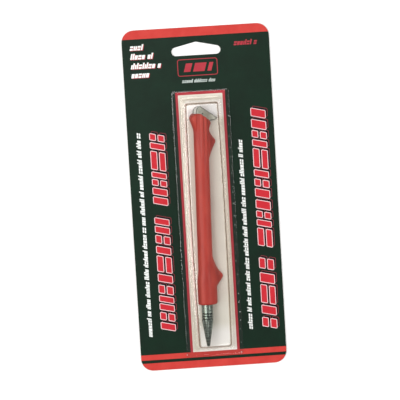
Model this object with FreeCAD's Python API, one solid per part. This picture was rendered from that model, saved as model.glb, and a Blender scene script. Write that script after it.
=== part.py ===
import FreeCAD, Part
import math
import os

# A two-ended carpet fitter's hand tool in its retail pack, modelled lying on its back.
# The tool has a moulded handle, a stamped steel pick for cleaning pin plates at one end and a
# turned steel nose for tracing tuft rows at the other. It lies loose in a clear thermoformed
# pocket that is heat sealed to a printed hang card.
#
# Row frame, in millimetres: +Z out of the card's printed face, +Y towards the hang hole,
# +X to the right of the printed face. The origin is the centre of the card's back.

Vector = FreeCAD.Vector

# ---- card -------------------------------------------------------------------------------------
CARD_WIDTH = 95.25
CARD_HEIGHT = 222.25
CARD_CORNER_RADIUS = 8.0
BOARD_THICKNESS = 0.5
FACE_SHEET_THICKNESS = 0.1
CARD_THICKNESS = BOARD_THICKNESS + FACE_SHEET_THICKNESS

HANG_HOLE_WIDTH = 31.75
HANG_HOLE_HEIGHT = 8.6
HANG_HOLE_BELOW_TOP = 18.2  # card's top edge to the hole's flat lower edge
HANG_HOLE_END_RADIUS = 2.8
HANG_HOLE_CROWN_RADIUS = 2.0

# ---- blister ----------------------------------------------------------------------------------
GAUGE = 0.4  # thickness of the clear sheet
BLISTER_CENTRE_X = 1.0  # the printed window and the blister sit a little right of centre
FLANGE_WIDTH = 37.4
FLANGE_TOP = 70.4
FLANGE_BOTTOM = -104.0
FLANGE_CORNER_RADIUS = 1.5
POCKET_WIDTH = 24.6  # outside, at the flange
POCKET_TOP = 64.5
POCKET_BOTTOM = -98.3
POCKET_HEIGHT = 13.4  # card face to the outside of the pocket's front
POCKET_DRAFT = 9.0  # degrees
POCKET_CORNER_RADIUS = 2.2
POCKET_EDGE_RADIUS = 1.6  # rounding between the walls and the front
POCKET_EDGE_STEPS = 4
SIDE_BOW = 0.7  # how far the long walls bulge outwards at mid length

# ---- tool, in its own frame: X across towards the finger stops, Y along towards the pick ------
HANDLE_LENGTH = 124.6
BARREL_LEFT = 5.1  # half widths from the tool's axis
BARREL_RIGHT = 4.6
BARREL_HALF_DEPTH = 4.9
GRIP_LEFT = 6.0  # the thicker grip behind the nose
GRIP_RIGHT = 7.4
GRIP_HALF_DEPTH = 5.2
GRIP_END = 18.8  # the grip gives way to the barrel at the lower finger stop
GRIP_BLEND = 9.0
END_ROUNDING = 1.2
HEAD_START = 112.0
HEAD_LEFT_FLARE = 3.1
HEAD_RIGHT_FLARE = 2.2
HEAD_FLARE_LENGTH = 11.0

# finger stops: place of the tip, height over the barrel, run-out towards the nose and the pick
LOWER_STOP = {"tip": 18.4, "height": 6.0, "below": 6.0, "above": 12.5}
UPPER_STOP = {"tip": 106.0, "height": 5.4, "below": 10.5, "above": 7.0}
HEAD_LOBE = {"tip": 117.6, "height": 1.2, "below": 6.0, "above": 6.0}
STOP_SHARPNESS = 1.3
STOP_TIP_ROUNDING = 1.3

STOP_EDGE = 1.25  # section exponent at a stop's tip: 2 is an ellipse, 1 is a sharp wedge

SECTION_POINTS = 22  # spans in each half section
# rows of sections along the handle: start, end, count
STATION_RUNS = ((0, 1.2, 3), (4, 34, 18), (44, 92, 4), (95, 127, 21))

FLUTE_DEPTH = 0.45  # shallow grooves down the head, fading out towards the barrel
FLUTE_WIDTH = 1.0
FLUTE_PLACES = (-2.9, 0.1, 3.2)
FLUTE_START = 97.0
FLUTE_FULL = 119.0

# the ground left end of the plate leans outwards from its front face to its back face
BLADE_END_FRONT = ((-4.2, 124.4), (-3.75, 126.84), (-2.9, 128.75), (-0.56, 129.04))
BLADE_END_BACK = ((-5.2, 124.6), (-5.0, 126.25), (-4.1, 127.9), (-1.0, 129.2))
PLATE_THICKNESS = 2.8
PUNCH_MARK_RADIUS = 0.55
PUNCH_MARK_DEPTH = 0.4
TANG_LEFT = -3.0
TANG_RIGHT = 2.6
TANG_BOTTOM = 98.0
TANG_HOLE_RADIUS = 1.2
TANG_HOLES = (103.0, 110.0)

NOSE_RADIUS = 3.8
NOSE_BARREL_LENGTH = 10.2
NOSE_LENGTH = 27.7
NOSE_TIP_RADIUS = 1.15
NOSE_POINT_ANGLE = 84.0  # where the rounded tip gives way to a pinhead of flat
NOSE_GROOVES = (5.8, 7.5, 9.2)
GROOVE_WIDTH = 0.8
GROOVE_DEPTH = 0.35
SHANK_RADIUS = 2.4
SHANK_LENGTH = 20.0
BARB_RADIUS = 2.75
BARB_PITCH = 4.5
BARB_COUNT = 3

# ---- how the tool lies in the pocket ----------------------------------------------------------
TOOL_ROLL = 24.0  # degrees about its own axis, finger stops down towards the card
TOOL_YAW = -1.4  # degrees about +Z, pick leaning right
TOOL_X = -2.73  # centre of the handle's nose end
TOOL_Y = -68.8
TOOL_LIFT = 0.3  # clearance over the card face


def arc(start, middle, end):
    return Part.Arc(start, middle, end).toShape()


def line(start, end):
    return Part.LineSegment(start, end).toShape()


def corner_arc(centre_x, centre_y, radius, from_degrees, z):
    """A quarter circle, anticlockwise from the given angle."""
    points = []
    for step in (0, 45, 90):
        angle = math.radians(from_degrees + step)
        points.append(Vector(centre_x + radius * math.cos(angle), centre_y + radius * math.sin(angle), z))
    return points


def bowed_outline(left, right, bottom, top, radius, bow, z):
    """A rounded rectangle whose two long sides may bulge outwards by bow."""
    corners = [
        corner_arc(right - radius, bottom + radius, radius, -90, z),
        corner_arc(right - radius, top - radius, radius, 0, z),
        corner_arc(left + radius, top - radius, radius, 90, z),
        corner_arc(left + radius, bottom + radius, radius, 180, z),
    ]
    edges = []
    for index, points in enumerate(corners):
        following = corners[(index + 1) % 4]
        edges.append(arc(*points))
        start, end = points[2], following[0]
        if bow and index in (0, 2):
            side = 1 if index == 0 else -1
            middle = (start + end) * 0.5 + Vector(side * bow, 0, 0)
            edges.append(arc(start, middle, end))
        else:
            edges.append(line(start, end))
    return Part.Wire(edges)


def plate(outline, thickness):
    return Part.Face(outline).extrude(Vector(0, 0, thickness))


# ---- card -------------------------------------------------------------------------------------


def outer_tangent(centre_a, radius_a, centre_b, radius_b):
    """Where a line touches circle a and then circle b, both on its left-hand side."""
    along = centre_b - centre_a
    heading = math.atan2(along.y, along.x)
    normal_angle = heading - math.acos((radius_a - radius_b) / along.Length)
    normal = Vector(math.cos(normal_angle), math.sin(normal_angle), 0)
    return centre_a + normal * radius_a, centre_b + normal * radius_b


def hang_hole():
    """A flat-bottomed peg slot with rounded ends and a shallow peaked crown."""
    low = CARD_HEIGHT / 2 - HANG_HOLE_BELOW_TOP
    reach = HANG_HOLE_WIDTH / 2 - HANG_HOLE_END_RADIUS
    right_end = Vector(reach, low + HANG_HOLE_END_RADIUS, 0)
    left_end = Vector(-reach, low + HANG_HOLE_END_RADIUS, 0)
    crown = Vector(0, low + HANG_HOLE_HEIGHT - HANG_HOLE_CROWN_RADIUS, 0)
    end_right, crown_right = outer_tangent(right_end, HANG_HOLE_END_RADIUS, crown, HANG_HOLE_CROWN_RADIUS)
    end_left = Vector(-end_right.x, end_right.y, 0)
    crown_left = Vector(-crown_right.x, crown_right.y, 0)
    foot_right = Vector(reach, low, 0)
    foot_left = Vector(-reach, low, 0)
    edges = [
        line(foot_left, foot_right),
        arc(foot_right, right_end + Vector(HANG_HOLE_END_RADIUS, 0, 0), end_right),
        line(end_right, crown_right),
        arc(crown_right, crown + Vector(0, HANG_HOLE_CROWN_RADIUS, 0), crown_left),
        line(crown_left, end_left),
        arc(end_left, left_end - Vector(HANG_HOLE_END_RADIUS, 0, 0), foot_left),
    ]
    return plate(Part.Wire(edges), CARD_THICKNESS)


def card_ply(bottom, thickness):
    outline = bowed_outline(-CARD_WIDTH / 2, CARD_WIDTH / 2, -CARD_HEIGHT / 2, CARD_HEIGHT / 2,
                            CARD_CORNER_RADIUS, 0, bottom)
    return plate(outline, thickness).cut(hang_hole())


# ---- blister ----------------------------------------------------------------------------------


def pocket_form(shrink, bottom):
    """The solid that the pocket encloses, all faces moved in by shrink."""
    slope = math.tan(math.radians(POCKET_DRAFT))
    front = CARD_THICKNESS + POCKET_HEIGHT - shrink
    edge = max(POCKET_EDGE_RADIUS - shrink, 0.3)
    levels = [(bottom, slope * (bottom - CARD_THICKNESS))]
    wall_top = front - edge
    wall_inset = slope * (wall_top - CARD_THICKNESS)
    for step in range(POCKET_EDGE_STEPS + 1):
        angle = math.radians(90 * step / POCKET_EDGE_STEPS)
        levels.append((wall_top + edge * math.sin(angle), wall_inset + edge * (1 - math.cos(angle))))
    wires = []
    for z, inset in levels:
        half_width = POCKET_WIDTH / 2 - shrink - inset
        radius = POCKET_CORNER_RADIUS - shrink - 0.3 * inset
        wires.append(bowed_outline(BLISTER_CENTRE_X - half_width, BLISTER_CENTRE_X + half_width,
                                   POCKET_BOTTOM + shrink + inset, POCKET_TOP - shrink - inset,
                                   radius, SIDE_BOW, z))
    return Part.makeLoft(wires, True, True)


def blister_shell():
    outline = bowed_outline(BLISTER_CENTRE_X - FLANGE_WIDTH / 2, BLISTER_CENTRE_X + FLANGE_WIDTH / 2,
                            FLANGE_BOTTOM, FLANGE_TOP, FLANGE_CORNER_RADIUS, 0, CARD_THICKNESS)
    flange = plate(outline, GAUGE)
    return flange.fuse(pocket_form(0, CARD_THICKNESS)).cut(pocket_form(GAUGE, CARD_THICKNESS - 1))


# ---- handle -----------------------------------------------------------------------------------


def smooth(value):
    value = min(max(value, 0.0), 1.0)
    return value * value * (3 - 2 * value)


def finger_stop(place, stop):
    """Height of a finger stop: concave flanks of unequal length up to a rounded tip."""
    offset = place - stop["tip"]
    reach = stop["above"] if offset > 0 else stop["below"]
    distance = math.hypot(offset, STOP_TIP_ROUNDING) - STOP_TIP_ROUNDING
    return stop["height"] * max(0.0, 1 - distance / reach) ** STOP_SHARPNESS


def handle_widths(place):
    """Left, right and front half widths of the handle at a place along it."""
    grip = 1 - smooth((place - GRIP_END + GRIP_BLEND / 2) / GRIP_BLEND)
    flare = smooth((place - HEAD_START) / HEAD_FLARE_LENGTH)
    left = BARREL_LEFT + grip * (GRIP_LEFT - BARREL_LEFT) + flare * HEAD_LEFT_FLARE
    right = BARREL_RIGHT + grip * (GRIP_RIGHT - BARREL_RIGHT) + flare * HEAD_RIGHT_FLARE
    depth = BARREL_HALF_DEPTH + grip * (GRIP_HALF_DEPTH - BARREL_HALF_DEPTH)
    if place < END_ROUNDING:
        fall = END_ROUNDING - math.sqrt(END_ROUNDING**2 - (END_ROUNDING - place) ** 2)
        left, right, depth = left - fall, right - fall, depth - fall
    return left, right, depth


def flute_depth(across, place):
    """Bell-shaped grooves that grow from nothing at the barrel to full depth at the head."""
    growth = smooth((place - FLUTE_START) / (FLUTE_FULL - FLUTE_START))
    bells = sum(math.exp(-(((across - flute) / FLUTE_WIDTH) ** 2)) for flute in FLUTE_PLACES)
    return FLUTE_DEPTH * growth * bells


def half_section(place, side):
    """The left (-1) or right (1) half of a section, a spline from one flat to the other."""
    left, right, depth = handle_widths(place)
    stops = sum(finger_stop(place, stop) for stop in (LOWER_STOP, UPPER_STOP, HEAD_LOBE))
    exponent = 2
    reach = left
    if side > 0:
        exponent -= (2 - STOP_EDGE) * min(stops / UPPER_STOP["height"], 1)
        reach = right + stops
    points = []
    for index in range(SECTION_POINTS + 1):
        angle = math.pi * (index / SECTION_POINTS - 0.5)
        across, front = math.cos(angle), math.sin(angle) * side
        pinch = (across**exponent + abs(front) ** exponent) ** (-1 / exponent)
        across *= reach * pinch * side
        front *= depth * pinch
        if front > 0:
            front -= flute_depth(across, place)
        points.append(Vector(across, place, front))
    curve = Part.BSplineCurve()
    curve.interpolate(Points=points, Parameters=list(range(SECTION_POINTS + 1)))
    return curve.toShape()


def handle_section(place):
    return Part.Wire([half_section(place, 1), half_section(place, -1)])


def stations():
    places = []
    for start, end, count in STATION_RUNS:
        places += [start + (end - start) * index / (count - 1) for index in range(count)]
    return places


def handle():
    body = Part.makeLoft([handle_section(place) for place in stations()], True, False)
    return body.common(head_trim()).cut(pick_blade()).cut(turned_nose())


def head_trim():
    """A slab with the head's side outline: a rounded left shoulder, then a slope under the pick."""
    wide = 20.0
    shoulder_foot = Vector(-8.6, 119.4, -wide)
    shoulder_middle = Vector(-7.4, 122.7, -wide)
    shoulder_top = Vector(-4.2, HANDLE_LENGTH, -wide)
    slope_start = Vector(-1.8, 124.3, -wide)
    slope_end = Vector(6.3, 118.9, -wide)
    right_side = Vector(7.4, 116.4, -wide)
    edges = [
        arc(shoulder_foot, shoulder_middle, shoulder_top),
        line(shoulder_top, slope_start),
        line(slope_start, slope_end),
        line(slope_end, right_side),
        line(right_side, Vector(wide, 112, -wide)),
        line(Vector(wide, 112, -wide), Vector(wide, -5, -wide)),
        line(Vector(wide, -5, -wide), Vector(-wide, -5, -wide)),
        line(Vector(-wide, -5, -wide), Vector(-wide, 112, -wide)),
        line(Vector(-wide, 112, -wide), shoulder_foot),
    ]
    return Part.Face(Part.Wire(edges)).extrude(Vector(0, 0, 2 * wide))


# ---- steel ends -------------------------------------------------------------------------------


def blade_outline(end, z):
    """One face of the plate: the ground end as given, then the beak and the tang."""
    foot, low, middle, high = [Vector(x, y, z) for x, y in end]
    rest = [
        high,
        Vector(11.72, 120.74, z),
        Vector(9.14, 119.75, z),
        Vector(6.6, 119.5, z),
        Vector(4.8, 118.6, z),
        Vector(TANG_RIGHT, 117.6, z),
        Vector(TANG_RIGHT, TANG_BOTTOM, z),
        Vector(TANG_LEFT, TANG_BOTTOM, z),
        Vector(TANG_LEFT, 123.6, z),
        foot,
        low,
    ]
    edges = [arc(low, middle, high)]
    for start, finish in zip(rest, rest[1:]):
        edges.append(line(start, finish))
    return Part.Wire(edges)


def pick_blade():
    """A stamped plate: a slanted beak with a sharp point and a ground end, on a tang with two locking holes."""
    back = -PLATE_THICKNESS / 2
    back_face = blade_outline(BLADE_END_BACK, back)
    front_face = blade_outline(BLADE_END_FRONT, -back)
    blade = Part.makeLoft([back_face, front_face], True, True)
    middle = (TANG_LEFT + TANG_RIGHT) / 2
    for place in TANG_HOLES:
        hole = Part.makeCylinder(TANG_HOLE_RADIUS, PLATE_THICKNESS, Vector(middle, place, back))
        blade = blade.cut(hole)
    mark_place = Vector(0.7, 124.4, PLATE_THICKNESS / 2 - PUNCH_MARK_DEPTH)
    return blade.cut(Part.makeCone(0.1, PUNCH_MARK_RADIUS, PUNCH_MARK_DEPTH, mark_place))


def turned_nose():
    """A turned nose: barbed shank, grooved barrel, long cone and a blunt rounded point."""
    profile = [Vector(0, SHANK_LENGTH, 0), Vector(SHANK_RADIUS - 0.5, SHANK_LENGTH, 0)]
    top = SHANK_LENGTH - 1.0
    for index in range(BARB_COUNT):
        crest = top - (index + 1) * BARB_PITCH
        profile.append(Vector(SHANK_RADIUS, crest + BARB_PITCH - 0.5, 0))
        profile.append(Vector(BARB_RADIUS, crest, 0))
        profile.append(Vector(SHANK_RADIUS, crest, 0))
    profile.append(Vector(SHANK_RADIUS, 0, 0))
    profile.append(Vector(NOSE_RADIUS, 0, 0))
    for groove in NOSE_GROOVES:
        bottom = NOSE_RADIUS - GROOVE_DEPTH
        half = GROOVE_WIDTH / 2
        profile.append(Vector(NOSE_RADIUS, -groove + half, 0))
        profile.append(Vector(bottom, -groove + half / 2, 0))
        profile.append(Vector(bottom, -groove - half / 2, 0))
        profile.append(Vector(NOSE_RADIUS, -groove - half, 0))
    cone_length = NOSE_LENGTH - NOSE_TIP_RADIUS - NOSE_BARREL_LENGTH
    lean = math.atan2(NOSE_RADIUS - NOSE_TIP_RADIUS, cone_length)
    tip_centre = Vector(0, -NOSE_LENGTH + NOSE_TIP_RADIUS, 0)
    touch = tip_centre + Vector(math.cos(lean), -math.sin(lean), 0) * NOSE_TIP_RADIUS
    flat = math.radians(NOSE_POINT_ANGLE)
    halfway = (lean + flat) / 2
    tip_middle = tip_centre + Vector(math.cos(halfway), -math.sin(halfway), 0) * NOSE_TIP_RADIUS
    flat_edge = tip_centre + Vector(math.cos(flat), -math.sin(flat), 0) * NOSE_TIP_RADIUS
    point = Vector(0, flat_edge.y, 0)
    profile.append(Vector(NOSE_RADIUS, -NOSE_BARREL_LENGTH, 0))
    profile.append(touch)
    edges = [line(start, end) for start, end in zip(profile, profile[1:])]
    edges.append(arc(touch, tip_middle, flat_edge))
    edges.append(line(flat_edge, point))
    edges.append(line(point, profile[0]))
    return Part.Face(Part.Wire(edges)).revolve(Vector(0, 0, 0), Vector(0, 1, 0), 360)


# ---- assembly ---------------------------------------------------------------------------------


def lay_in_pocket(pieces):
    """Rolls and yaws the tool, then sets its lowest point just over the card face."""
    roll = FreeCAD.Rotation(Vector(0, 1, 0), TOOL_ROLL)
    yaw = FreeCAD.Rotation(Vector(0, 0, 1), TOOL_YAW)
    turned = FreeCAD.Placement(Vector(TOOL_X, TOOL_Y, 0), yaw.multiply(roll))
    placed = {}
    for name, piece in pieces.items():
        placed[name] = piece.transformed(turned.toMatrix(), True)
    lowest = min(piece.optimalBoundingBox(False, False).ZMin for piece in placed.values())
    rise = Vector(0, 0, CARD_THICKNESS + TOOL_LIFT - lowest)
    for piece in placed.values():
        piece.translate(rise)
    print("tool axis height over the card's back: %.3f" % rise.z)
    return placed


def main():
    os.makedirs("parts", exist_ok=True)
    parts = {
        "card_board": card_ply(0, BOARD_THICKNESS),
        "printed_face": card_ply(BOARD_THICKNESS, FACE_SHEET_THICKNESS),
        "blister_shell": blister_shell(),
    }
    tool = {"handle": handle(), "pick_blade": pick_blade(), "turned_nose": turned_nose()}
    parts.update(lay_in_pocket(tool))
    for name, shape in parts.items():
        box = shape.optimalBoundingBox(False, False)
        print("%-14s valid %s solids %d volume %9.1f  x %.2f..%.2f y %.2f..%.2f z %.2f..%.2f"
              % (name, shape.isValid(), len(shape.Solids), shape.Volume,
                 box.XMin, box.XMax, box.YMin, box.YMax, box.ZMin, box.ZMax))
        shape.exportStep("parts/%s.step" % name)


main()
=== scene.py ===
import math

import bmesh
import bpy
import numpy as np
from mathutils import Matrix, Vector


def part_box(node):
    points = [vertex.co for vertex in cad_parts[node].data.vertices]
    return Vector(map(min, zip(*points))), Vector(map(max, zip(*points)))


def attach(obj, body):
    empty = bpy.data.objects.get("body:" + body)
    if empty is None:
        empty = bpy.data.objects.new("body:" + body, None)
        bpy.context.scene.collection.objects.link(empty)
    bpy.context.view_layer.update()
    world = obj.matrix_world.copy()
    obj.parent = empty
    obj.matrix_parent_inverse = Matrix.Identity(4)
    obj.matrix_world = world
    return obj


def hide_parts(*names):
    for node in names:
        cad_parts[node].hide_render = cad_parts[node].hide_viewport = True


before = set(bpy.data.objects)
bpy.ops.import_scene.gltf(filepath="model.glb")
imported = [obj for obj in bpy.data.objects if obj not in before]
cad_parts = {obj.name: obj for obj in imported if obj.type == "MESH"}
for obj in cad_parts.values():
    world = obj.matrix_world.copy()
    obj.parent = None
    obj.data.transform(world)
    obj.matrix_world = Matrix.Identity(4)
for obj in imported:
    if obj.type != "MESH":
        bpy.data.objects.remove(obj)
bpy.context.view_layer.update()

# A two-ended carpet tool sealed under a clear pocket on a printed hang card.
# Everything is in metres in the part's own frame: +Z out of the print, +Y towards the hang hole.
mm = 0.001
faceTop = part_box("printed_face")[1].z
cardLow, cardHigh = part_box("card_board")
print("frame loaded, card face at %.2f mm" % (faceTop / mm))


def linearColour(hexCode):
    # each channel is undone from the sRGB curve: c/12.92 low down, ((c+0.055)/1.055)^2.4 above
    channels = [int(hexCode[i:i + 2], 16) / 255 for i in (1, 3, 5)]
    return tuple(c / 12.92 if c <= 0.04045 else ((c + 0.055) / 1.055) ** 2.4 for c in channels) + (1.0,)


def addNode(tree, kind, settings, links=()):
    # settings name a node property or an input, links are pairs of input and the socket feeding it;
    # a Mix node's two colours are its inputs 6 and 7, and the mixed colour is its output 2
    node = tree.nodes.new(kind)
    for key, value in settings.items():
        if isinstance(key, str) and hasattr(node, key):
            setattr(node, key, value)
        else:
            node.inputs[key].default_value = value
    for key, socket in links:
        tree.links.new(socket, node.inputs[key])
    return node


def newMaterial(name):
    material = bpy.data.materials.new(name)
    material.use_nodes = True
    material.node_tree.nodes.clear()
    tree = material.node_tree
    place = addNode(tree, "ShaderNodeTexCoord", {})
    return material, tree, place.outputs["Object"]


def finishMaterial(tree, shader):
    addNode(tree, "ShaderNodeOutputMaterial", {}, [("Surface", shader)])


def addRamp(tree, source, stops):
    # stops are pairs of place and hex colour
    ramp = addNode(tree, "ShaderNodeValToRGB", {}, [("Fac", source)])
    elements = ramp.color_ramp.elements
    while len(elements) < len(stops):
        elements.new(0.5)
    for element, (place, hexCode) in zip(elements, stops):
        element.position = place
        element.color = linearColour(hexCode)
    return ramp.outputs["Color"]


def closeSeam(mesh, distance):
    # points that fall together become one, and every face is turned outwards
    work = bmesh.new()
    work.from_mesh(mesh)
    bmesh.ops.remove_doubles(work, verts=work.verts, dist=distance)
    bmesh.ops.dissolve_degenerate(work, edges=work.edges, dist=distance)
    bmesh.ops.recalc_face_normals(work, faces=work.faces)
    work.to_mesh(mesh)
    work.free()


def addMesh(name, points, faces, material, body, smoothAngle=None, mergeAt=None):
    mesh = bpy.data.meshes.new(name)
    mesh.from_pydata(np.asarray(points).tolist(), [], [list(f) for f in faces])
    if mergeAt is not None:
        closeSeam(mesh, mergeAt)
    mesh.materials.append(material)
    if smoothAngle is not None:
        mesh.shade_smooth()
        mesh.set_sharp_from_angle(angle=math.radians(smoothAngle))
    piece = bpy.data.objects.new(name, mesh)
    bpy.context.scene.collection.objects.link(piece)
    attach(piece, body)
    return piece


def gridFaces(rows, columns):
    # quads between neighbouring rows of a grid whose columns close on themselves
    row, column = np.meshgrid(np.arange(rows - 1), np.arange(columns), indexing="ij")
    following = (column + 1) % columns
    quads = [row * columns + column, row * columns + following,
             (row + 1) * columns + following, (row + 1) * columns + column]
    return np.stack(quads, axis=-1).reshape(-1, 4).tolist()


def smoothStep(value):
    # three times the square less twice the cube, level at both ends
    value = np.clip(value, 0, 1)
    return value * value * (3 - 2 * value)


# where painted light whitens the paper beside the pocket's end walls: shares of the pocket's length, and the
# left limit in mm
endLightWash = {
    "along": ((0.0, "#d9dad8"), (0.06, "#d9dad8"), (0.1, "#000000"), (0.92, "#000000"), (0.935, "#ffffff"),
              (0.99, "#ffffff"), (1.0, "#000000")),
    "left": (-9.2, -8.4),
}


def inkOnBoard(name, ink, thin, roughness, mottleSize=9.0, paintedEndLight=False):
    # Litho ink on coated paper under a press varnish. The ink lies a little uneven, the paper's
    # tooth shows in the gloss as a fine pebble, and rubbing leaves faint duller patches.
    material, tree, place = newMaterial(name)
    mottle = addNode(tree, "ShaderNodeTexNoise",
                     {"Scale": 1 / (mottleSize * mm), "Detail": 4.0, "Roughness": 0.6}, [("Vector", place)])
    colour = addRamp(tree, mottle.outputs["Fac"], [(0.30, thin), (0.62, ink)])
    if paintedEndLight:
        # painted light: the end walls of the clear pocket throw light back on the paper beside them, painted
        # here as a whiter wash
        split = addNode(tree, "ShaderNodeSeparateXYZ", {}, [("Vector", place)])
        low, high = (blister["pocket"][end] * mm for end in ("low", "high"))
        span = addNode(tree, "ShaderNodeMapRange", {"From Min": low, "From Max": high},
                       [("Value", split.outputs["Y"])])
        wash = addRamp(tree, span.outputs["Result"], endLightWash["along"])
        start, full = (limit * mm for limit in endLightWash["left"])
        across = addNode(tree, "ShaderNodeMapRange", {"From Min": start, "From Max": full},
                         [("Value", split.outputs["X"])])
        fade = addNode(tree, "ShaderNodeMath", {"operation": "MULTIPLY"},
                       [(0, wash), (1, across.outputs["Result"])])
        lit = addNode(tree, "ShaderNodeMix", {"data_type": "RGBA", 7: linearColour("#ffffff")},
                      [("Factor", fade.outputs[0]), (6, colour)])
        colour = lit.outputs[2]
    tooth = addNode(tree, "ShaderNodeTexNoise", {"Scale": 1 / (0.9 * mm), "Detail": 2.0}, [("Vector", place)])
    gloss = addNode(tree, "ShaderNodeMapRange",
                    {"From Min": 0.3, "From Max": 0.7, "To Min": roughness - 0.05, "To Max": roughness + 0.07},
                    [("Value", mottle.outputs["Fac"])])
    bump = addNode(tree, "ShaderNodeBump", {"Strength": 0.12, "Distance": 0.02 * mm},
                   [("Height", tooth.outputs["Fac"])])
    shader = addNode(tree, "ShaderNodeBsdfPrincipled", {"IOR": 1.45, "Specular IOR Level": 0.2},
                     [("Base Color", colour), ("Roughness", gloss.outputs["Result"]),
                      ("Normal", bump.outputs["Normal"])])
    finishMaterial(tree, shader.outputs["BSDF"])
    return material


def recycledBoard():
    # Grey recycled board, pressed from short fibres: matt, flecked, with a soft felt-like tooth.
    material, tree, place = newMaterial("recycledBoard")
    fibre = addNode(tree, "ShaderNodeTexNoise", {"Scale": 1 / (1.6 * mm), "Detail": 6.0, "Roughness": 0.7,
                                                 "Distortion": 0.6}, [("Vector", place)])
    cloud = addNode(tree, "ShaderNodeTexNoise", {"Scale": 1 / (22 * mm), "Detail": 2.0}, [("Vector", place)])
    flecks = addRamp(tree, fibre.outputs["Fac"], [(0.30, "#8c867a"), (0.45, "#b4aea0"), (0.75, "#c9c4b8")])
    tint = addRamp(tree, cloud.outputs["Fac"], [(0.3, "#e8e4dc"), (0.7, "#ffffff")])
    mix = addNode(tree, "ShaderNodeMix", {"data_type": "RGBA", "blend_type": "MULTIPLY", 0: 1.0},
                  [(6, flecks), (7, tint)])
    bump = addNode(tree, "ShaderNodeBump", {"Strength": 0.4, "Distance": 0.05 * mm},
                   [("Height", fibre.outputs["Fac"])])
    shader = addNode(tree, "ShaderNodeBsdfPrincipled", {"Roughness": 0.88, "IOR": 1.45},
                     [("Base Color", mix.outputs[2]), ("Normal", bump.outputs["Normal"])])
    finishMaterial(tree, shader.outputs["BSDF"])
    return material


def formedSheet():
    # Clear vinyl sheet, heated and drawn into a mould: see-through head on, mirror-like at a
    # glance, and faintly rippled where it thinned. Its mirror share follows Schlick's formula,
    # head-on share plus the rest times (1 - cosine) to the fifth.
    material, tree, place = newMaterial("formedVinyl")
    ripple = addNode(tree, "ShaderNodeTexNoise", {"Scale": 1 / (14 * mm), "Detail": 3.0, "Roughness": 0.45},
                     [("Vector", place)])
    bump = addNode(tree, "ShaderNodeBump", {"Strength": 0.5, "Distance": 0.12 * mm},
                   [("Height", ripple.outputs["Fac"])])
    facing = addNode(tree, "ShaderNodeLayerWeight", {"Blend": 0.5}, [("Normal", bump.outputs["Normal"])])
    power = addNode(tree, "ShaderNodeMath", {"operation": "POWER", 1: 5.0}, [(0, facing.outputs["Facing"])])
    share = addNode(tree, "ShaderNodeMapRange", {"To Min": 0.05, "To Max": 0.92}, [("Value", power.outputs[0])])
    haze = addNode(tree, "ShaderNodeTexNoise", {"Scale": 1 / (3 * mm), "Detail": 4.0}, [("Vector", place)])
    rough = addNode(tree, "ShaderNodeMapRange",
                    {"From Min": 0.3, "From Max": 0.7, "To Min": 0.05, "To Max": 0.11},
                    [("Value", haze.outputs["Fac"])])
    # painted shade: a formed bend acts as a lens and carries the light from behind it away, so the sheet is
    # tinted brown along each bend
    bendShade = addNode(tree, "ShaderNodeAttribute", {"attribute_name": "bendShade"})
    tint = addRamp(tree, bendShade.outputs["Fac"], [(0.0, "#fcfbfa"), (0.3, "#f4f1ee"), (0.6, "#dcd4cb"),
                                               (0.8, "#b9aca0"), (1.0, "#85796c")])
    clear = addNode(tree, "ShaderNodeBsdfTransparent", {}, [("Color", tint)])
    mirror = addNode(tree, "ShaderNodeBsdfGlossy", {"Color": (1, 1, 1, 1)},
                     [("Roughness", rough.outputs["Result"]), ("Normal", bump.outputs["Normal"])])
    mix = addNode(tree, "ShaderNodeMixShader", {},
                  [("Fac", share.outputs["Result"]), (1, clear.outputs["BSDF"]), (2, mirror.outputs["BSDF"])])
    finishMaterial(tree, mix.outputs["Shader"])
    return material


def sealDotGlint():
    # Small raised domes along the heat seal, painted whitish-grey: a painted highlight that stands for their
    # glints.
    material, tree, place = newMaterial("sealDotGlint")
    grain = addNode(tree, "ShaderNodeTexNoise", {"Scale": 1 / (0.4 * mm), "Detail": 2.0}, [("Vector", place)])
    colour = addRamp(tree, grain.outputs["Fac"], [(0.3, "#7f8f88"), (0.7, "#c9d2cc")])
    shader = addNode(tree, "ShaderNodeBsdfPrincipled", {"Roughness": 0.3, "IOR": 1.5}, [("Base Color", colour)])
    finishMaterial(tree, shader.outputs["BSDF"])
    return material


def mouldedPlastic():
    # Injection-moulded red polypropylene: an even body colour that glows a little through thin
    # edges, a satin skin copied from a spark-eroded mould, and slight flow marks along the length.
    material, tree, place = newMaterial("mouldedRedPlastic")
    stretch = addNode(tree, "ShaderNodeMapping", {"Scale": (1, 0.22, 1)}, [("Vector", place)])
    flow = addNode(tree, "ShaderNodeTexNoise", {"Scale": 1 / (5 * mm), "Detail": 3.0, "Roughness": 0.55},
                   [("Vector", stretch.outputs["Vector"])])
    colour = addRamp(tree, flow.outputs["Fac"], [(0.30, "#a82c20"), (0.5, "#b8382a"), (0.70, "#c04232")])
    grain = addNode(tree, "ShaderNodeTexNoise", {"Scale": 1 / (0.45 * mm), "Detail": 2.0}, [("Vector", place)])
    rough = addNode(tree, "ShaderNodeMapRange",
                    {"From Min": 0.3, "From Max": 0.7, "To Min": 0.4, "To Max": 0.52},
                    [("Value", flow.outputs["Fac"])])
    bump = addNode(tree, "ShaderNodeBump", {"Strength": 0.16, "Distance": 0.03 * mm},
                   [("Height", grain.outputs["Fac"])])
    shader = addNode(tree, "ShaderNodeBsdfPrincipled",
                     {"IOR": 1.49, "Specular IOR Level": 0.35, "Subsurface Weight": 0.08,
                      "Subsurface Scale": 1.0, "Subsurface Radius": (0.6 * mm, 0.2 * mm, 0.15 * mm)},
                     [("Base Color", colour), ("Roughness", rough.outputs["Result"]),
                      ("Normal", bump.outputs["Normal"])])
    finishMaterial(tree, shader.outputs["BSDF"])
    return material


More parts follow.
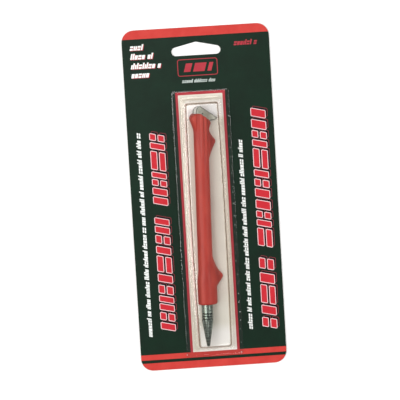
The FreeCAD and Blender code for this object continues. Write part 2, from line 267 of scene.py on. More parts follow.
def stampedSteel():
    # Steel plate blanked in a press and tumbled: grey, softly mottled, with short fine scratches.
    material, tree, place = newMaterial("tumbledSteel")
    mottle = addNode(tree, "ShaderNodeTexNoise", {"Scale": 1 / (2.6 * mm), "Detail": 5.0, "Roughness": 0.65},
                     [("Vector", place)])
    bare = addRamp(tree, mottle.outputs["Fac"], [(0.3, "#7d7f77"), (0.52, "#98998f"), (0.75, "#adaea6")])
    # painted highlight and painted shade: the ground end is painted near-white as a highlight, and the punch
    # mark and the edges are painted dark as shade
    endHighlight = addNode(tree, "ShaderNodeAttribute", {"attribute_name": "endHighlight"})
    highlightedEnd = addNode(tree, "ShaderNodeMix", {"data_type": "RGBA", 7: linearColour("#eceeea")},
                     [("Factor", endHighlight.outputs["Fac"]), (6, bare)])
    shadeWeight = addNode(tree, "ShaderNodeAttribute", {"attribute_name": "paintedShade"})
    marked = addNode(tree, "ShaderNodeMix", {"data_type": "RGBA", 7: linearColour("#1c1d1a")},
                     [("Factor", shadeWeight.outputs["Fac"]), (6, highlightedEnd.outputs[2])])
    metal = addNode(tree, "ShaderNodeMapRange", {"To Min": 1.0, "To Max": 0.25},
                    [("Value", endHighlight.outputs["Fac"])])
    turn = addNode(tree, "ShaderNodeMapping", {"Rotation": (0, 0, math.radians(34)), "Scale": (0.12, 1, 1)},
                   [("Vector", place)])
    scratch = addNode(tree, "ShaderNodeTexNoise", {"Scale": 1 / (0.35 * mm), "Detail": 3.0},
                      [("Vector", turn.outputs["Vector"])])
    rough = addNode(tree, "ShaderNodeMapRange",
                    {"From Min": 0.3, "From Max": 0.7, "To Min": 0.38, "To Max": 0.56},
                    [("Value", scratch.outputs["Fac"])])
    bump = addNode(tree, "ShaderNodeBump", {"Strength": 0.25, "Distance": 0.02 * mm},
                   [("Height", scratch.outputs["Fac"])])
    shader = addNode(tree, "ShaderNodeBsdfPrincipled", {},
                     [("Base Color", marked.outputs[2]), ("Roughness", rough.outputs["Result"]),
                      ("Metallic", metal.outputs["Result"]), ("Normal", bump.outputs["Normal"])])
    finishMaterial(tree, shader.outputs["BSDF"])
    return material


def turnedSteel():
    # Bright bar turned on a lathe: fine rings round the axis, drawn at 0.3 mm pitch so that they
    # still show, and a slightly blue-grey oxide that varies along the bar.
    material, tree, place = newMaterial("turnedSteel")
    along = addNode(tree, "ShaderNodeMapping", {"Rotation": (0, 0, math.radians(-toolLay["yaw"])),
                                                "Scale": (0.02, 1, 0.02)}, [("Vector", place)])
    rings = addNode(tree, "ShaderNodeTexNoise", {"Scale": 1 / (0.3 * mm), "Detail": 3.0, "Roughness": 0.7},
                    [("Vector", along.outputs["Vector"])])
    cloud = addNode(tree, "ShaderNodeTexNoise", {"Scale": 1 / (4 * mm), "Detail": 3.0}, [("Vector", place)])
    bare = addRamp(tree, cloud.outputs["Fac"], [(0.3, "#7f8d84"), (0.7, "#97a49b")])
    # painted shade: the floors of the grooves are painted dark
    grooveShade = addNode(tree, "ShaderNodeAttribute", {"attribute_name": "paintedShade"})
    colour = addNode(tree, "ShaderNodeMix", {"data_type": "RGBA", 7: linearColour("#343c37")},
                     [("Factor", grooveShade.outputs["Fac"]), (6, bare)])
    rough = addNode(tree, "ShaderNodeMapRange",
                    {"From Min": 0.3, "From Max": 0.7, "To Min": 0.25, "To Max": 0.31},
                    [("Value", rings.outputs["Fac"])])
    bump = addNode(tree, "ShaderNodeBump", {"Strength": 0.06, "Distance": 0.02 * mm},
                   [("Height", rings.outputs["Fac"])])
    shader = addNode(tree, "ShaderNodeBsdfPrincipled", {"Metallic": 1.0},
                     [("Base Color", colour.outputs[2]), ("Roughness", rough.outputs["Result"]),
                      ("Normal", bump.outputs["Normal"])])
    finishMaterial(tree, shader.outputs["BSDF"])
    return material


noseLow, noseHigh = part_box("turned_nose")
# how the tool lies in the pocket: degrees, and the place of its nose end in mm
toolLay = {"roll": 24.0, "yaw": -1.4, "x": -2.73, "y": -68.8, "z": (noseLow.z + noseHigh.z) / 2 / mm}


def layTool(points):
    # turned about its own length by the roll, about the upright by the yaw, then set down
    roll, yaw = math.radians(toolLay["roll"]), math.radians(toolLay["yaw"])
    x = points[:, 0] * math.cos(roll) + points[:, 2] * math.sin(roll)
    z = -points[:, 0] * math.sin(roll) + points[:, 2] * math.cos(roll)
    y = points[:, 1]
    turned = np.stack([x * math.cos(yaw) - y * math.sin(yaw),
                       x * math.sin(yaw) + y * math.cos(yaw), z], axis=1)
    return (turned + np.array([toolLay["x"], toolLay["y"], toolLay["z"]])) * mm


camera = {
    "tilt": -6.199, "swing": -2.644, "turn": -3.394,  # degrees
    "aim": (-3.047, -1.215), "distance": 1600.0, "lens": 221.73,
}


def addCamera():
    # turned first about its own axis, then tipped about X, then swung about Y
    data = bpy.data.cameras.new("camera")
    data.sensor_width = 36.0
    data.lens = camera["lens"]
    data.clip_start, data.clip_end = 0.05, 20.0
    holder = bpy.data.objects.new("camera", data)
    bpy.context.scene.collection.objects.link(holder)
    holder.rotation_mode = "ZXY"
    holder.rotation_euler = tuple(math.radians(camera[k]) for k in ("tilt", "swing", "turn"))
    bpy.context.view_layer.update()
    back = holder.matrix_world.to_3x3().col[2]
    aim = (camera["aim"][0] * mm, camera["aim"][1] * mm, 0.0)
    holder.location = [aim[i] + back[i] * camera["distance"] * mm for i in range(3)]
    bpy.context.scene.camera = holder


addCamera()
print("camera placed")


# the clear pocket, in mm and degrees
blister = {
    "centreX": 1.0, "gauge": 0.4, "innerGap": 0.34,  # the inner skin's distance from the outer one
    "flange": {"half": 18.7, "low": -104.0, "high": 70.4, "radius": 1.5},
    "pocket": {"half": 12.3, "low": -98.3, "high": 64.5, "radius": 2.2},
    "height": 13.4, "draft": 9.0, "edge": 1.3, "foot": 0.7, "bow": 0.7,
    "crownAlong": 0.3, "crownPower": 13,  # how much the front swells, and how late it falls off at the ends
    "crownAcross": 0.2,  # how much it swells from side to side
    "rim": ((0.35, 0), (0.7, 0), (0.93, 0), (0.965, 0.05), (0.99, 0.16), (1.0, 0.3)),  # share out, drop
    "cornerSteps": 9, "sideSteps": 60, "endSteps": 14,
}


printLayout = {
    "corner": 8.0,
    "topStripe": 105.35,
    "bottomStripes": ((-104.2, -100.7), (-111.2, -106.25)),
    "windowX": (-13.4, 15.4), "windowY": (-100.7, 67.5),
    "keylineX": (-15.0, 17.1), "keylineTop": 69.4,
    "layer": 0.012,  # thickness that each ink layer adds
}


def roundedShape(corners, radius, steps=5):
    # a convex outline grown by a disc: every corner becomes an arc between its two edge normals
    corners = np.asarray(corners, float)
    edge = np.roll(corners, -1, axis=0) - corners
    after = np.arctan2(-edge[:, 0], edge[:, 1])
    before = np.roll(after, 1)
    sweep = np.mod(after - before, 2 * np.pi)
    angles = before[:, None] + sweep[:, None] * np.linspace(0, 1, steps)[None, :]
    ring = corners[:, None, :] + radius * np.stack([np.cos(angles), np.sin(angles)], axis=-1)
    return ring.reshape(-1, 2)


def addLayer(name, shapes, material, level):
    # each outline is raised into a closed thin slab, its top one ink layer above its foot
    low = faceTop / mm + printLayout["layer"] * level
    points, faces, first = [], [], 0
    for shape in shapes:
        count = len(shape)
        for z in (low, low + printLayout["layer"]):
            points.append(np.column_stack([shape, np.full(count, z)]))
        ring = np.arange(count)
        following = np.roll(ring, -1)
        faces.append((first + ring[::-1]).tolist())
        faces.append((first + count + ring).tolist())
        faces += (first + np.stack([ring, following, following + count, ring + count], axis=1)).tolist()
        first += 2 * count
    piece = addMesh(name, np.concatenate(points) * mm, faces, material, "pack")


def bar(x0, x1, y0, y1):
    # a plain rectangle, anticlockwise
    return np.array([[x0, y0], [x1, y0], [x1, y1], [x0, y1]], float)


def endStripe(edgeY, side):
    # a stripe that fills the card's rounded end: straight inner edge, arcs at the two corners
    halfWidth, halfHeight = cardHigh.x / mm, cardHigh.y / mm
    radius = printLayout["corner"]
    centreX, centreY = halfWidth - radius, halfHeight - radius
    start = math.asin((abs(edgeY) - centreY) / radius)
    angle = np.linspace(start, np.pi / 2, 14)
    right = np.column_stack([centreX + radius * np.cos(angle), centreY + radius * np.sin(angle)])
    left = right[::-1] * [-1, 1]
    outline = np.concatenate([right, left])
    return outline if side > 0 else (outline * [1, -1])[::-1]


def baseline(origin, upright):
    # a line's origin, its direction, and the direction up its strokes
    if upright:
        return np.array(origin, float), np.array([0.0, 1.0]), np.array([-1.0, 0.0])
    return np.array(origin, float), np.array([1.0, 0.0]), np.array([0.0, 1.0])


def setShapes(shapes, axes):
    # flat shapes carried onto a line of print
    origin, along, up = axes
    return [origin + shape[:, :1] * along + shape[:, 1:] * up for shape in shapes]


headlines = {
    "height": 10.4, "slant": 0.24, "rounding": 0.32, "outline": 0.45, "gap": 0.75,
    "shadow": (1.25, 1.2), "shadowLine": 0.3,
    # baseline x, start y, end y, number of blocks
    "words": ((-23.4, -87.0, -9.6, 6), (-23.4, -4.6, 45.2, 4),
              (43.0, -89.6, -40.2, 3), (43.0, -36.2, 57.6, 7)),
}
blockWidths = (1.0, 0.86, 1.12, 0.94, 1.06, 0.9, 1.1)  # share of the even width, in turn

# the tiles of each block, as left, right, foot and head in shares of its width and height
blockKinds = (
    ((0, 0.36, 0, 1), (0.6, 1, 0, 0.4), (0.6, 1, 0.62, 1)),
    ((0, 0.4, 0, 1), (0.62, 1, 0, 1)),
    ((0, 0.4, 0, 0.4), (0, 0.4, 0.62, 1), (0.64, 1, 0, 1)),
    ((0, 1, 0, 0.37), (0, 1, 0.6, 1)),
)


def headlineBlocks(count, length, first):
    # slanted blocks in a row, each a cluster of plain tiles
    h = headlines
    inset = h["rounding"] + h["outline"]
    widths = np.array(blockWidths[:count])
    widths = widths / widths.sum() * (length - h["slant"] * h["height"])
    starts = np.concatenate([[0], np.cumsum(widths)[:-1]])
    shapes = []
    for index, (start, width) in enumerate(zip(starts, widths)):
        size = np.array([width - 2 * inset - h["gap"], h["height"] - 2 * inset])
        for tile in blockKinds[(first + index) % len(blockKinds)]:
            shape = bar(*tile) * size + [start + inset + h["gap"] / 2, inset]
            # each tile gives up its own rounding before it is grown again
            middle = shape.mean(0)
            shape = middle + (shape - middle) * (1 - 2 * h["rounding"] / np.ptp(shape, axis=0))
            shape[:, 0] += h["slant"] * shape[:, 1]
            shapes.append(shape)
    return shapes


# strokes of the small print: start, end, foot and head in shares of the line's height
strokeKinds = (
    ((0, 0.2, 0, 0.7), (0.33, 0.53, 0, 0.7)),
    ((0, 0.46, 0, 0.7),),
    ((0, 0.22, 0, 1.0),),
    ((0, 0.2, 0, 0.7), (0.33, 0.53, 0, 1.0)),
    ((0, 0.5, 0, 0.26), (0, 0.5, 0.46, 0.72)),
)


def greekedLine(length, height, seed, slant):
    # a row of small slanted strokes in word-like groups, none of them a letter
    random = np.random.default_rng(seed)
    shapes, place = [], 0.0
    word = int(random.integers(3, 8))
    while place < length - 0.5 * height:
        for start, end, foot, head in strokeKinds[int(random.integers(len(strokeKinds)))]:
            shape = bar(start, end, foot, head) * height + [place, 0]
            shape[:, 0] += slant * shape[:, 1]
            shapes.append(shape)
            width = end * height
        place += width + height * 0.16
        word -= 1
        if word == 0:
            place += height * 0.4
            word = int(random.integers(2, 8))
    return shapes


smallPrint = {
    # origin, upright, length, height, seed
    "white": (((-39.3, -88.8), True, 134.0, 2.8, 3), ((26.4, -88.0), True, 125.3, 2.8, 4)),
    "large": (((-42.6, 98.3), False, 9.8, 3.6, 5), ((-42.6, 92.4), False, 16.3, 3.6, 6),
              ((-42.6, 86.3), False, 19.7, 3.6, 7), ((-42.6, 80.5), False, 11.9, 3.6, 8)),
    "thin": (((-10.1, 75.4), False, 22.0, 2.1, 9),),
    "red": (((24.6, 97.8), False, 15.7, 3.2, 10),),
}

emblem = {
    "x": (-12.6, 13.4), "y": (79.6, 90.6), "line": 0.45, "corner": 1.6, "slant": 0.3,
    "bars": ((-8.6, 4.2), (-2.6, 7.4), (6.6, 2.6)),  # start and width
}


def emblemShapes():
    # where a maker's sign would go: a plain rounded frame round three slanted bars
    e = emblem
    (x0, x1), (y0, y1) = e["x"], e["y"]
    core = bar(x0 + e["corner"], x1 - e["corner"], y0 + e["corner"], y1 - e["corner"])
    outer = roundedShape(core, e["corner"])
    inner = roundedShape(core, e["corner"] - e["line"])
    following = np.roll(np.arange(len(outer)), -1)
    frameParts = [np.array([outer[i], outer[j], inner[j], inner[i]]) for i, j in enumerate(following)]
    height = (y1 - y0) * 0.5
    low = (y0 + y1 - height) / 2
    bars = []
    for start, width in e["bars"]:
        shape = bar(start, start + width, 0, height)
        shape[:, 0] += e["slant"] * shape[:, 1]
        bars.append(shape + [0, low])
    return frameParts, bars


def buildPrint():
    # every ink is its own layer on the card's face, later ones raised over earlier ones
    layout = printLayout
    red = inkOnBoard("redInk", "#c03832", "#c9423b", 0.36)
    darkRed = inkOnBoard("keylineInk", "#b5343f", "#bf3f48", 0.36)
    cream = inkOnBoard("creamInk", "#e8e5da", "#eeece1", 0.42, 14.0, True)
    addLayer("printStripes", [endStripe(layout["topStripe"], 1), endStripe(layout["bottomStripes"][1][1], -1),
                              bar(cardLow.x / mm, cardHigh.x / mm, *layout["bottomStripes"][0])], red, 0)
    (x0, x1), (y0, y1) = layout["windowX"], layout["windowY"]
    (k0, k1), top = layout["keylineX"], layout["keylineTop"]
    addLayer("printWindow", [bar(x0, x1, y0, y1)], cream, 0)
    addLayer("printKeyline", [bar(k0, x0, y0, top), bar(x1, k1, y0, top), bar(x0, x1, y1, top)], darkRed, 0)
    print("stripes and window printed")

    h = headlines
    blocks = []
    for first, (baseX, start, end, count) in enumerate(h["words"]):
        blocks += setShapes(headlineBlocks(count, end - start, first), baseline((baseX, start), True))
    shift = np.array(h["shadow"])
    outer = h["rounding"] + h["outline"]
    pinkLine = inkOnBoard("shadowLineInk", "#84323c", "#8f3a44", 0.36)
    black = inkOnBoard("blackInk", "#060a08", "#0a0f0c", 0.36)
    outline = inkOnBoard("outlineInk", "#e6bfc2", "#efcdcf", 0.36)
    fill = inkOnBoard("headlineInk", "#bd2530", "#c62e37", 0.36)
    addLayer("headlineShadowLine", [roundedShape(b + shift, outer) for b in blocks], pinkLine, 0)
    addLayer("headlineShadow", [roundedShape(b + shift, outer - h["shadowLine"]) for b in blocks], black, 1)
    addLayer("headlineOutline", [roundedShape(b, outer) for b in blocks], outline, 2)
    addLayer("headlineFill", [roundedShape(b, h["rounding"]) for b in blocks], fill, 3)
    print("headline blocks printed")

    whiteInk = inkOnBoard("whiteInk", "#e4e8e4", "#eef1ee", 0.36)
    paleInk = inkOnBoard("paleInk", "#a9b3ad", "#b6bfba", 0.36)
    dullRed = inkOnBoard("dullRedInk", "#a8323c", "#b23c45", 0.36)
    for name, material in (("white", whiteInk), ("large", whiteInk), ("thin", paleInk), ("red", dullRed)):
        shapes = []
        for origin, upright, length, height, seed in smallPrint[name]:
            shapes += setShapes(greekedLine(length, height, seed, h["slant"]), baseline(origin, upright))
        rounded = [roundedShape(s, 0.1, 3) for s in shapes]
        if name == "large":
            addLayer("smallPrintShadow", [s + [0.4, -0.35] for s in rounded], dullRed, 0)
        addLayer("smallPrint" + name.capitalize(), rounded, material, 1)
    frameParts, bars = emblemShapes()
    addLayer("emblemFrame", frameParts, dullRed, 0)
    addLayer("emblemBars", bars, dullRed, 0)
    print("small print set")


board = recycledBoard()
darkField = inkOnBoard("darkGreenInk", "#0b2014", "#10281b", 0.36, 16.0)
for node, material, slot in (("card_board", board, "grey_board"), ("printed_face", darkField, "printed_sheet")):
    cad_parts[node].data.materials.clear()
    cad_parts[node].data.materials.append(material)
buildPrint()


def ringPoints(half, low, high, radius, bow, z):
    # a rounded rectangle, anticlockwise from the right side, whose long sides bulge by a parabola
    b = blister
    radius = np.minimum(radius, half)
    quarter = np.linspace(0, np.pi / 2, b["cornerSteps"])
    side = np.linspace(-1, 1, b["sideSteps"])[1:-1]
    end = np.linspace(1, -1, b["endSteps"])[1:-1]
    middle, reach = (low + high) / 2, (high - low) / 2 - radius
    straight = half - radius
    rightX = half + bow * (1 - side**2)
    rightY = middle + reach * side
    corner = np.column_stack([radius * np.cos(quarter), radius * np.sin(quarter)])
    turned = corner[:, ::-1] * [-1, 1]
    parts = [
        np.column_stack([rightX, rightY]),
        corner + [straight, middle + reach],
        np.column_stack([straight * end, np.full(len(end), high)]),
        turned + [-straight, middle + reach],
        np.column_stack([-rightX[::-1], rightY[::-1]]),
        -corner + [-straight, middle - reach],
        np.column_stack([-straight * end, np.full(len(end), low)]),
        -turned + [straight, middle - reach],
    ]
    ring = np.concatenate(parts)
    return np.column_stack([ring[:, 0] + b["centreX"], ring[:, 1], np.full(len(ring), z)])


def skinRows(offset):
    # rows from the middle of the front out to the flange, for the skin this far inside the outer one;
    # with each row goes the weight of its painted bend shade: 1 on the formed front edge, a little at the foot,
    # 0 on flat sheet
    b = blister
    base = faceTop / mm + b["gauge"] - offset
    slope = math.tan(math.radians(b["draft"]))
    front = faceTop / mm + b["height"] - b["crownAlong"] - b["crownAcross"] - offset
    edge = b["edge"] - offset * 0.8
    wallTop = front - edge
    wallInset = slope * (wallTop - base)
    p, f = b["pocket"], b["flange"]
    span = p["half"] - offset - wallInset - edge
    rows = [(wallInset + edge + span * share, front, 0.0) for share in np.linspace(1, 0, 16)[:-1] ** 1.3]
    for angle in np.linspace(0, np.pi / 2, 7):
        rows.append((wallInset + edge * (1 - math.sin(angle)),
                     wallTop + edge * math.cos(angle), math.sin(angle)))
    foot = b["foot"] + offset * 0.5
    for share in np.linspace(1, 0, 8)[1:-1]:
        height = base + foot + (wallTop - base - foot) * share
        rows.append((slope * (height - base), height, max(0.0, 4 * share - 3)))
    for angle in np.linspace(0, np.pi / 2, 6):
        rows.append((foot * (math.cos(angle) - 1) + foot * slope * 0.5,
                     base + foot * (1 - math.sin(angle)), 0.25))
    rings, bends = [], []
    middle, reach = (p["low"] + p["high"]) / 2, (p["high"] - p["low"]) / 2
    for inset, z, bendShade in rows:
        half = max(p["half"] - offset - inset, 0.0)
        radius = max(p["radius"] - offset - 0.3 * inset, 0.2)
        ring = ringPoints(half, p["low"] + offset + inset, p["high"] - offset - inset, radius,
                          b["bow"] * min(1.0, half / 2), z)
        # the front swells by a steep power along and a parabola across, fading out down the walls
        across = np.clip(np.abs(ring[:, 0] - b["centreX"]) / (span + b["bow"]), 0, 1)
        along = np.clip(np.abs(ring[:, 1] - middle) / (reach - wallInset - edge), 0, 1)
        swell = b["crownAlong"] * (1 - along ** b["crownPower"]) + b["crownAcross"] * (1 - across**2)
        ring[:, 2] += swell * (z - base) / (front - base)
        rings.append(ring)
        bends.append(bendShade * np.where(ring[:, 0] > b["centreX"] + half * 0.8, 1.0, 0.9))
    footRing = rings[-1]
    flangeRing = ringPoints(f["half"], f["low"], f["high"], f["radius"], 0.0, base)
    for share, drop in b["rim"]:
        ring = footRing * (1 - share) + flangeRing * share
        ring[:, 2] -= drop if offset == 0 else 0
        rings.append(ring)
        bends.append(np.zeros(len(ring)))
    return rings, bends


def buildBlister():
    # the outer skin out to the flange's edge, then the inner skin back: one closed sheet
    outer, outerBends = skinRows(0.0)
    inner, innerBends = skinRows(blister["innerGap"])
    rings = outer + inner[::-1]
    columns = len(rings[0])
    points = np.concatenate(rings)
    faces = gridFaces(len(rings), columns)
    sheet = addMesh("clearBlister", points * mm, faces, formedSheet(), "pack", 40)
    bends = np.concatenate(outerBends + innerBends[::-1])
    weights = sheet.data.attributes.new("bendShade", "FLOAT", "POINT")
    weights.data.foreach_set("value", bends.astype(np.float32))
    closeSeam(sheet.data, 0.004 * mm)
    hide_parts("blister_shell")


sealDots = {"left": -17.2, "right": 18.4, "low": -101.0, "high": 64.0, "pitch": 6.4, "radius": 0.3,
            "height": 0.12, "around": 8, "up": 4}


def buildSealDots():
    # small domes: radius times the sine across, height times the cosine up, one template for all
    d = sealDots
    random = np.random.default_rng(11)
    places = []
    for x in (d["left"], d["right"]):
        y = np.arange(d["low"], d["high"], d["pitch"])
        y = y + random.uniform(-1.6, 1.6, len(y))
        places.append(np.column_stack([x + random.uniform(-0.35, 0.35, len(y)), y]))
    places = np.concatenate(places)
    sizes = random.uniform(0.5, 1.25, len(places))
    around, up = np.meshgrid(np.linspace(0, 2 * np.pi, d["around"] + 1)[:-1],
                             np.linspace(0, np.pi / 2 * 0.92, d["up"]))
    template = np.stack([np.cos(up) * np.cos(around), np.cos(up) * np.sin(around), np.sin(up)], axis=-1)
    template = template.reshape(-1, 3)
    scaled = template[None] * (sizes[:, None, None] * [d["radius"], d["radius"], d["height"]])
    centres = np.column_stack([places, np.full(len(places), faceTop / mm + blister["gauge"] - 0.01)])
    points = (scaled + centres[:, None, :]).reshape(-1, 3)
    count = len(template)
    foot, top = list(range(d["around"])), list(range(count - d["around"], count))
    each = gridFaces(d["up"], d["around"]) + [top, foot[::-1]]
    faces = [[v + count * i for v in face] for i in range(len(places)) for face in each]
    dots = addMesh("sealDots", points * mm, faces, sealDotGlint(), "pack", 50)


buildBlister()
buildSealDots()
print("blister formed")


# the tool's own sizes, in mm: X across towards the finger stops, Y along towards the pick
handle = {
    "length": 124.6, "barrel": (5.1, 4.6, 4.9), "grip": (6.0, 7.4, 5.2), "gripEnd": 18.8, "gripBlend": 9.0,
    "endRounding": 1.2, "headStart": 112.0, "headFlare": (3.1, 2.2), "flareLength": 11.0,
    "stops": ({"tip": 18.4, "height": 6.0, "below": 6.0, "above": 12.5},
              {"tip": 106.0, "height": 5.4, "below": 10.5, "above": 7.0},
              {"tip": 117.6, "height": 1.2, "below": 6.0, "above": 6.0}),
    "sharpness": 1.3, "tipRounding": 1.3, "wedge": 1.25, "ridge": 1.82,
    "flutes": (-4.1, -2.8, 0.1, 3.2), "fluteDepth": 0.95, "fluteWidth": 0.6, "fluteRun": (90.0, 112.0),
    "topX": (-8.6, -8.1, -7.4, -6.0, -4.2, -1.8, 6.3, 7.4, 9.0),
    "topY": (119.4, 121.3, 122.7, 123.9, 124.5, 124.3, 118.9, 116.4, 113.0),
    "topRounding": 0.9, "topSearch": 105.0, "around": 144, "along": 300,
}


def stopHeight(y, stop):
    # the share of the run-out left at y, raised to a power for hollow flanks, with a rounded tip
    offset = y - stop["tip"]
    reach = np.where(offset > 0, stop["above"], stop["below"])
    distance = np.hypot(offset, handle["tipRounding"]) - handle["tipRounding"]
    return stop["height"] * np.clip(1 - distance / reach, 0, 1) ** handle["sharpness"]


def handlePoints(y, angle, shrink=0.0):
    # egg-shaped sections: an ellipse on the left, a right half pinched towards a wedge at the stops
    h = handle
    grip = 1 - smoothStep((y - h["gripEnd"] + h["gripBlend"] / 2) / h["gripBlend"])
    flare = smoothStep((y - h["headStart"]) / h["flareLength"])
    left, right, depth = (b + grip * (g - b) for b, g in zip(h["barrel"], h["grip"]))
    left = left + flare * h["headFlare"][0]
    right = right + flare * h["headFlare"][1]
    low = np.clip(h["endRounding"] - y, 0, h["endRounding"])
    fall = h["endRounding"] - np.sqrt(h["endRounding"] ** 2 - low**2)
    stops = sum(stopHeight(y, stop) for stop in h["stops"])
    pinched = np.clip(stops / h["stops"][1]["height"], 0, 1)
    exponent = h["ridge"] - (h["ridge"] - h["wedge"]) * pinched
    across, front = np.cos(angle), np.sin(angle)
    exponent = np.where(across > 0, exponent, 2.0)
    pinch = (np.abs(across) ** exponent + np.abs(front) ** exponent) ** (-1 / exponent)
    reach = np.where(across > 0, right + stops, left) - fall - shrink
    x = across * pinch * reach
    z = front * pinch * (depth - fall - shrink)
    growth = smoothStep((y - h["fluteRun"][0]) / (h["fluteRun"][1] - h["fluteRun"][0]))
    bells = sum(np.exp(-(((x - f) / h["fluteWidth"]) ** 2)) for f in h["flutes"])
    z = z - np.where(front > 0, h["fluteDepth"] * growth * bells * np.clip(front * 2, 0, 1), 0)
    return x, z


def headTop(x):
    # the slanted top end, read off a line of points
    return np.interp(x, handle["topX"], handle["topY"])


def buildHandle():
    h = handle
    angle = np.linspace(0, 2 * np.pi, h["around"], endpoint=False)[None, :]
    # where each long line of the skin meets the slanted top, found by halving the span
    low, high = np.full(angle.shape, h["topSearch"]), np.full(angle.shape, h["length"])
    for halving in range(24):
        guess = (low + high) / 2
        below = guess < headTop(handlePoints(guess, angle)[0]) - h["topRounding"]
        low, high = np.where(below, guess, low), np.where(below, high, guess)
    start = h["endRounding"] * (1 - np.cos(np.linspace(0, np.pi / 2, 8)))[:-1, None]
    share = np.linspace(0, 1, h["along"])[:, None]
    y = np.concatenate([start + 0 * angle, h["endRounding"] + share * (low - h["endRounding"])])
    # rows lie square to the axis along the barrel and lean into the slanted top over the last part
    straight = np.concatenate([start, h["endRounding"] + share * (low.max() - h["endRounding"])])
    y = y + smoothStep((95 - straight) / 30) * (straight - y)
    x, z = handlePoints(y, angle)
    side = np.stack([x, y, z], axis=-1)
    caps = []
    for turn in np.linspace(0, np.pi / 2, 8)[1:]:
        capX, capZ = handlePoints(low, angle, h["topRounding"] * (1 - math.cos(turn)))
        capY = headTop(capX) - h["topRounding"] * (1 - math.sin(turn))
        caps.append(np.stack([capX, capY, capZ], axis=-1))
    rim = caps[-1]
    for share in (0.85, 0.65, 0.4, 0.15, 0.0):
        shrunkX = rim[..., 0] * share
        caps.append(np.stack([shrunkX, headTop(shrunkX), rim[..., 2] * share], axis=-1))
    foot = side[:1] * [1, 0, 1]
    rows = np.concatenate([foot * share for share in (0.0, 0.3, 0.6, 0.85)] + [side] + caps)
    points = layTool(rows.reshape(-1, 3))
    faces = gridFaces(len(rows), h["around"])
    piece = addMesh("handleGrip", points, faces, mouldedPlastic(), "tool", 55, mergeAt=0.004 * mm)
    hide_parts("handle")


buildHandle()
print("handle moulded")


pick = {
    "thickness": 2.8, "bevel": 0.16,
    # the ground left end leans outwards from the front face to the back face
    "frontEnd": ((-4.2, 124.4), (-3.75, 126.84), (-3.26, 128.1), (-2.3, 129.02), (-1.4, 129.2),
                 (-0.56, 129.04)),
    "backEnd": ((-5.2, 124.6), (-5.0, 126.25), (-4.5, 127.4), (-3.5, 128.4), (-2.3, 129.0), (-1.0, 129.2)),
    "rest": ((11.72, 120.74), (9.14, 119.75), (6.6, 119.5), (4.8, 118.6), (2.6, 117.6), (2.6, 98.0),
             (-3.0, 98.0), (-3.0, 123.6)),
    "mark": (0.75, 124.3), "markRadius": 0.6, "markDepth": 0.4, "markSteps": 16,
    "faceShade": 0.5, "endShade": 0.9,  # how far the painted edge shade fades in from the edges
}


def insetOutline(outline, inset):
    # every corner moves along its bisector so that each side steps in by the same amount
    edge = np.roll(outline, -1, axis=0) - outline
    edge = edge / np.linalg.norm(edge, axis=1)[:, None]
    normal = np.column_stack([-edge[:, 1], edge[:, 0]])
    both = normal + np.roll(normal, 1, axis=0)
    return outline + both / np.maximum((both * normal).sum(1), 0.5)[:, None] * inset


def buildPick():
    # rows round the plate's edge from front to back, then the two faces, the front one with its mark
    p = pick
    half, b = p["thickness"] / 2, p["bevel"]
    front = np.array(p["frontEnd"] + p["rest"], float)[::-1]
    back = np.array(p["backEnd"] + p["rest"], float)[::-1]
    steps = [(b + p["faceShade"], half), (b, half), (b * 0.3, half - b * 0.3), (0, half - b),
             (0, b - half + p["endShade"]), (0, b - half), (b * 0.3, b * 0.3 - half), (b, -half)]
    rows = []
    for inset, z in steps:
        share = (half - z) / p["thickness"]
        row = insetOutline(front * (1 - share) + back * share, inset)
        rows.append(np.column_stack([row, np.full(len(row), z)]))
    count = len(front)
    around = p["markSteps"]
    angle = np.linspace(0, 2 * np.pi, around, endpoint=False)
    ring = np.column_stack([np.cos(angle), np.sin(angle)]) * p["markRadius"]
    rim = np.column_stack([ring + p["mark"], np.full(around, half)])
    bowl = np.column_stack([ring * 0.55 + p["mark"], np.full(around, half - p["markDepth"] * 0.8)])
    pit = np.array([[*p["mark"], half - p["markDepth"]]])
    points = layTool(np.concatenate(rows + [rim, bowl, pit]))
    first = count * len(rows)
    faces = gridFaces(len(rows), count) + [list(range(first - count, first))]
    faces += [[first + v for v in face] for face in gridFaces(2, around)]
    bottom = first + around
    faces += [[bottom + i, bottom + (i + 1) % around, bottom + around] for i in range(around)]
    piece = addMesh("pickBlade", points, faces, stampedSteel(), "tool")
    # painted highlight: the rows of the end face are painted near-white
    endHighlight = np.zeros(len(points), np.float32)
    ends = len(p["rest"]) + np.arange(len(p["frontEnd"]))
    for row in (3, 4):
        endHighlight[row * count + ends] = 1
    # painted shade: the punch mark and the edges are painted dark
    paintedShade = np.zeros(len(points), np.float32)
    for row in (1, 2, 5, 6):
        paintedShade[row * count:(row + 1) * count] = 0.9
    paintedShade[bottom:] = 1
    for name, values in (("endHighlight", endHighlight), ("paintedShade", paintedShade)):
        piece.data.attributes.new(name, "FLOAT", "POINT").data.foreach_set("value", values)
    # the front face fills the space between its outline and the mark
    work = bmesh.new()
    work.from_mesh(piece.data)
    work.verts.ensure_lookup_table()
    loops = []
    for begin, size in ((0, count), (first, around)):
        ends = [(work.verts[begin + i], work.verts[begin + (i + 1) % size]) for i in range(size)]
        loops += [work.edges.get(pair) for pair in ends]
    bmesh.ops.triangle_fill(work, edges=loops, use_beauty=True)
    work.to_mesh(piece.data)
    work.free()
    closeSeam(piece.data, 0.002 * mm)
    piece.data.shade_smooth()
    piece.data.set_sharp_from_angle(angle=math.radians(15))
    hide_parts("pick_blade")


nose = {
    "radius": 3.8, "barrel": 10.2, "length": 27.7, "tip": 1.15, "grooves": (5.8, 7.5, 9.2), "grooveWidth": 0.8,
    "grooveDepth": 0.35, "shank": 2.4, "shankLength": 20.0, "barb": 2.75, "barbPitch": 4.5, "barbs": 3,
    "around": 96,
}


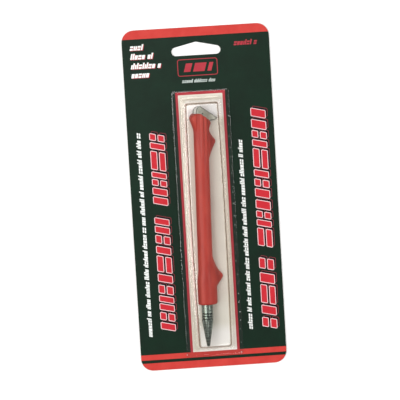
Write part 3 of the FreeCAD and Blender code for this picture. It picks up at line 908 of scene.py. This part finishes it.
def noseProfile():
    # pairs of radius and place along the axis, from the shank's end to the rounded point
    n = nose
    profile = [(0.0, n["shankLength"]), (n["shank"] - 0.5, n["shankLength"])]
    for index in range(n["barbs"]):
        crest = n["shankLength"] - 1 - (index + 1) * n["barbPitch"]
        profile += [(n["shank"], crest + n["barbPitch"] - 0.5), (n["barb"], crest), (n["shank"], crest)]
    profile += [(n["shank"], 0.0), (n["radius"] - 0.15, 0.0), (n["radius"], -0.15)]
    half = n["grooveWidth"] / 2
    for groove in n["grooves"]:
        deep = n["radius"] - n["grooveDepth"]
        profile += [(n["radius"], -groove + half), (deep, -groove + half / 2), (deep, -groove - half / 2),
                    (n["radius"], -groove - half)]
    profile.append((n["radius"], -n["barrel"]))
    lean = math.atan2(n["radius"] - n["tip"], n["length"] - n["tip"] - n["barrel"])
    centre = -n["length"] + n["tip"]
    for angle in np.linspace(lean, math.pi / 2, 9):
        profile.append((n["tip"] * math.cos(angle), centre - n["tip"] * math.sin(angle)))
    return np.array(profile)


def buildNose():
    # the profile turned about the tool's axis
    profile = noseProfile()
    angle = np.linspace(0, 2 * np.pi, nose["around"], endpoint=False)
    radius, along = profile[:, :1], profile[:, 1:]
    rows = np.stack([radius * np.cos(angle), along + 0 * angle, radius * np.sin(angle)], axis=-1)
    faces = gridFaces(len(profile), nose["around"])
    piece = addMesh("turnedNose", layTool(rows.reshape(-1, 3)), faces, turnedSteel(), "tool", 22)
    # painted shade: the floors of the grooves are painted dark
    floors = radius[:, 0] < nose["radius"] - nose["grooveDepth"] / 2
    deep = (along[:, 0] < 0) & (along[:, 0] > -nose["barrel"]) & floors
    paintedShade = np.repeat(deep.astype(np.float32), nose["around"])
    piece.data.attributes.new("paintedShade", "FLOAT", "POINT").data.foreach_set("value", paintedShade)
    closeSeam(piece.data, 0.002 * mm)
    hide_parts("turned_nose")


buildPick()
buildNose()
print("steel ends fitted")


def addFloor():
    # matt white sweep of seamless paper under the card
    material, tree, place = newMaterial("seamlessPaper")
    tooth = addNode(tree, "ShaderNodeTexNoise", {"Scale": 1 / (40 * mm), "Detail": 3.0}, [("Vector", place)])
    colour = addRamp(tree, tooth.outputs["Fac"], [(0.3, "#f4f4f3"), (0.7, "#f8f8f7")])
    shader = addNode(tree, "ShaderNodeBsdfPrincipled", {"Roughness": 0.95, "Specular IOR Level": 0.1},
                     [("Base Color", colour)])
    finishMaterial(tree, shader.outputs["BSDF"])
    half, low = 3.0, cardLow.z - 0.2 * mm
    mesh = bpy.data.meshes.new("floor")
    mesh.from_pydata([(-half, -half, low), (half, -half, low), (half, half, low), (-half, half, low)], [],
                     [(0, 1, 2, 3)])
    mesh.materials.append(material)
    floor = bpy.data.objects.new("floor", mesh)
    bpy.context.scene.collection.objects.link(floor)


lamps = (
    # name, direction as degrees from upright towards +X and towards +Y, distance, width, depth, watts
    ("keySoftbox", (-43, 4), 1.5, 0.8, 1.5, 23),
    ("fillSoftbox", (48, 16), 1.6, 1.1, 1.0, 15.5),
    ("topStrip", (-6, 12), 1.3, 0.6, 0.5, 2.6),
    ("lowStrip", (8, -24), 1.3, 0.16, 0.26, 0.4),
)


def addLamps():
    # each softbox stands along its direction from the origin and faces it
    for name, (sideways, lengthwise), distance, width, depth, watts in lamps:
        data = bpy.data.lights.new(name, "AREA")
        data.shape = "RECTANGLE"
        data.size, data.size_y, data.energy = width, depth, watts
        lamp = bpy.data.objects.new(name, data)
        a, b = math.tan(math.radians(sideways)), math.tan(math.radians(lengthwise))
        direction = np.array([a, b, 1.0]) / math.sqrt(a * a + b * b + 1)
        lamp.location = direction * distance
        lamp.rotation_euler = lamp.location.to_track_quat("Z", "Y").to_euler()
        bpy.context.scene.collection.objects.link(lamp)
    world = bpy.data.worlds.new("studio")
    world.use_nodes = True
    background = world.node_tree.nodes["Background"]
    background.inputs["Color"].default_value = linearColour("#f2f4f6")
    background.inputs["Strength"].default_value = 0.17
    bpy.context.scene.world = world
    bpy.context.scene.view_settings.view_transform = "Standard"


addFloor()
addLamps()
print("lights set")
